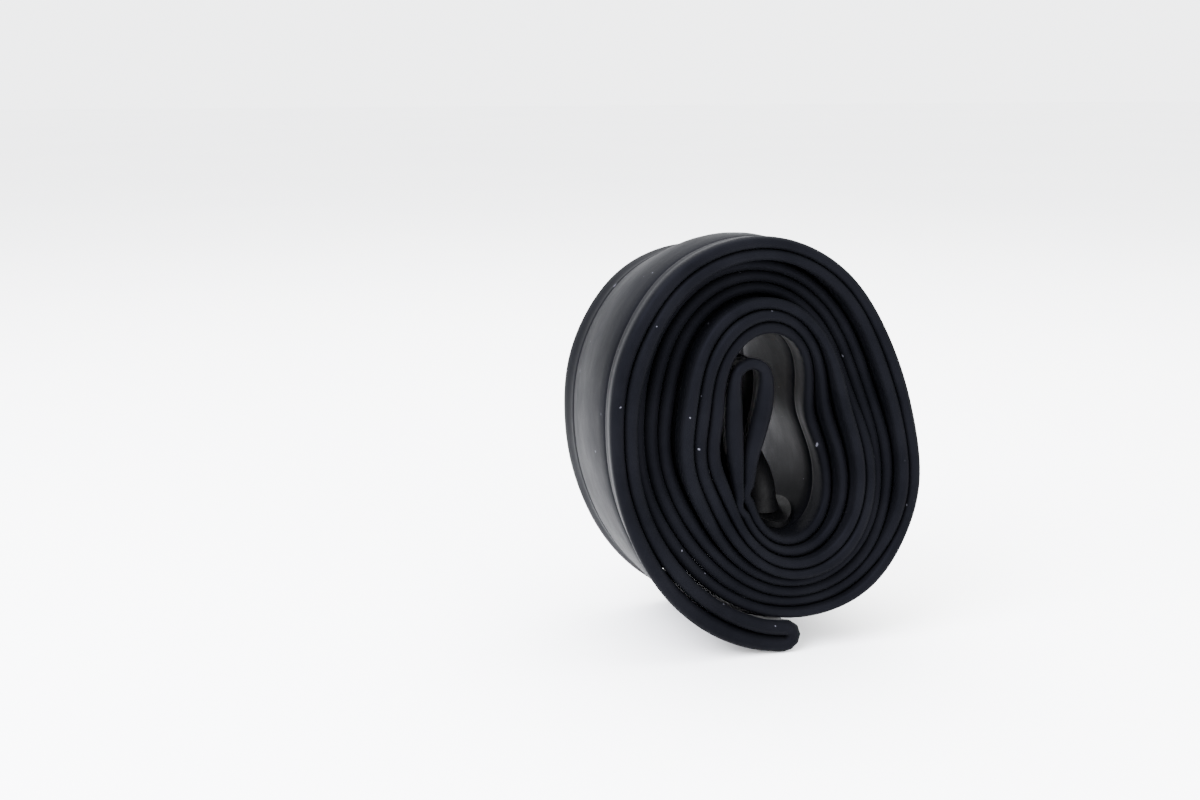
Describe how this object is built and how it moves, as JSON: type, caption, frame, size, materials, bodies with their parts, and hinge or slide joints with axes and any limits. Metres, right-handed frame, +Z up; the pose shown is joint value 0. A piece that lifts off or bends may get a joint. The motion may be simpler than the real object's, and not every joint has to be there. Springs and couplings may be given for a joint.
{
  "type": "bicycle inner tube",
  "caption": "Folded and rolled bicycle inner tube: flattened butyl ring wound into a leaning oval roll, with a capped Schrader valve leaning out of its core.",
  "frame": {"origin": "centre of the bounding box, on the surface that the roll stands on", "axes": "+Z up, Y along the roll's axis with the open face looking to -Y and the valve leaning out at +Y, X across the roll"},
  "size_m": [0.0816, 0.066, 0.105],
  "materials": {
    "butyl": "satin black, lightly dusted",
    "valve_rubber": "moulded, semi-matte",
    "brass_stem": "machined",
    "brass_core": "machined",
    "brass_pin": "drawn wire",
    "spring_steel": "drawn wire",
    "seal_rubber": "matte",
    "cap_plastic": "moulded, satin"
  },
  "bodies": {
    "roll": {"tube_body": "butyl", "valve_rubber": "valve_rubber", "stem_insert": "brass_stem", "core_plug": "brass_core", "core_barrel": "brass_core", "core_gasket": "seal_rubber"},
    "pin": {"core_pin": "brass_pin", "plunger_washer": "seal_rubber", "plunger_cup": "brass_core", "core_spring": "spring_steel"},
    "cap_carrier": {"cap_seal": "seal_rubber"},
    "cap": {"cap_shell": "cap_plastic"}
  },
  "joints": [
    {"name": "cap_lift", "type": "slide", "parent": "roll", "child": "cap_carrier", "axis": [0, 0.866, 0.5], "range_m": [0, 0.00635]},
    {"name": "cap_turn", "type": "hinge", "parent": "cap_carrier", "child": "cap", "pos_m": [0.008, 0.02709, 0.05813], "axis": [0, 0.866, 0.5], "range_deg": [0, 2880]},
    {"name": "pin_press", "type": "slide", "parent": "roll", "child": "pin", "axis": [0, -0.866, -0.5], "range_m": [0, 0.0015], "stiffness_N_per_m": 600, "springref_m": -0.001, "deforming": ["core_spring"]}
  ],
  "couplings": [
    {"joint": "cap_turn", "follows": "cap_lift", "rad_per_m": 7913.3}
  ]
}
